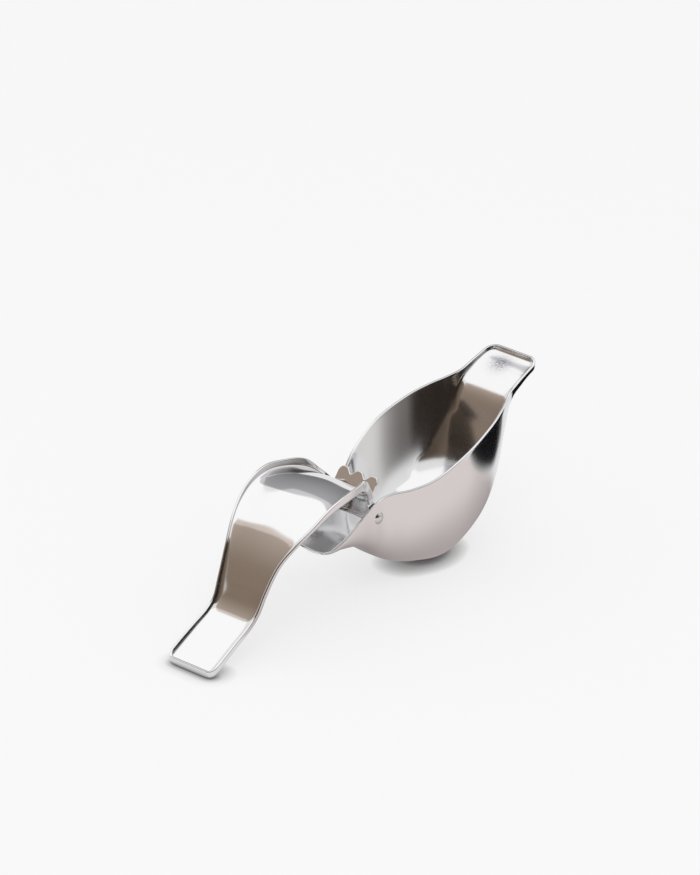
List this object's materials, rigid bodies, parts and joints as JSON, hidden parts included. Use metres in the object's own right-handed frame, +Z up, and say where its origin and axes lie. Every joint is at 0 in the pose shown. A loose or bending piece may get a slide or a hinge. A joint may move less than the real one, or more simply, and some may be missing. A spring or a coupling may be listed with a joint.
{
  "type": "lemon squeezer",
  "caption": "Hinged hand squeezer for a citrus wedge: a deep bowl jaw with a pouring spout and an arched press jaw with a toothed pip comb.",
  "frame": {"origin": "on the table, in the plane of symmetry, midway between the ends of the two finger tabs of the open tool", "axes": "+X points along the bowl jaw towards its finger tab, +Y is the hinge axis across the tool, +Z points up from the table"},
  "size_m": [0.1694, 0.043, 0.0618],
  "materials": {
    "bowl_steel": "pressed stainless sheet, satin outside and polished inside",
    "press_steel": "pressed stainless sheet, polished to a bright finish",
    "rivet_steel": "turned stainless rivet, bright domed head"
  },
  "bodies": {
    "bowl": {"bowl_jaw": "bowl_steel", "hinge_rivet_left": "rivet_steel", "hinge_rivet_right": "rivet_steel"},
    "press": {"press_jaw": "press_steel"}
  },
  "joints": [
    {"name": "hinge", "type": "hinge", "parent": "bowl", "child": "press", "pos_m": [0.0003, 0, 0.0302], "axis": [0, 1, 0], "range_deg": [-30, 153]}
  ]
}
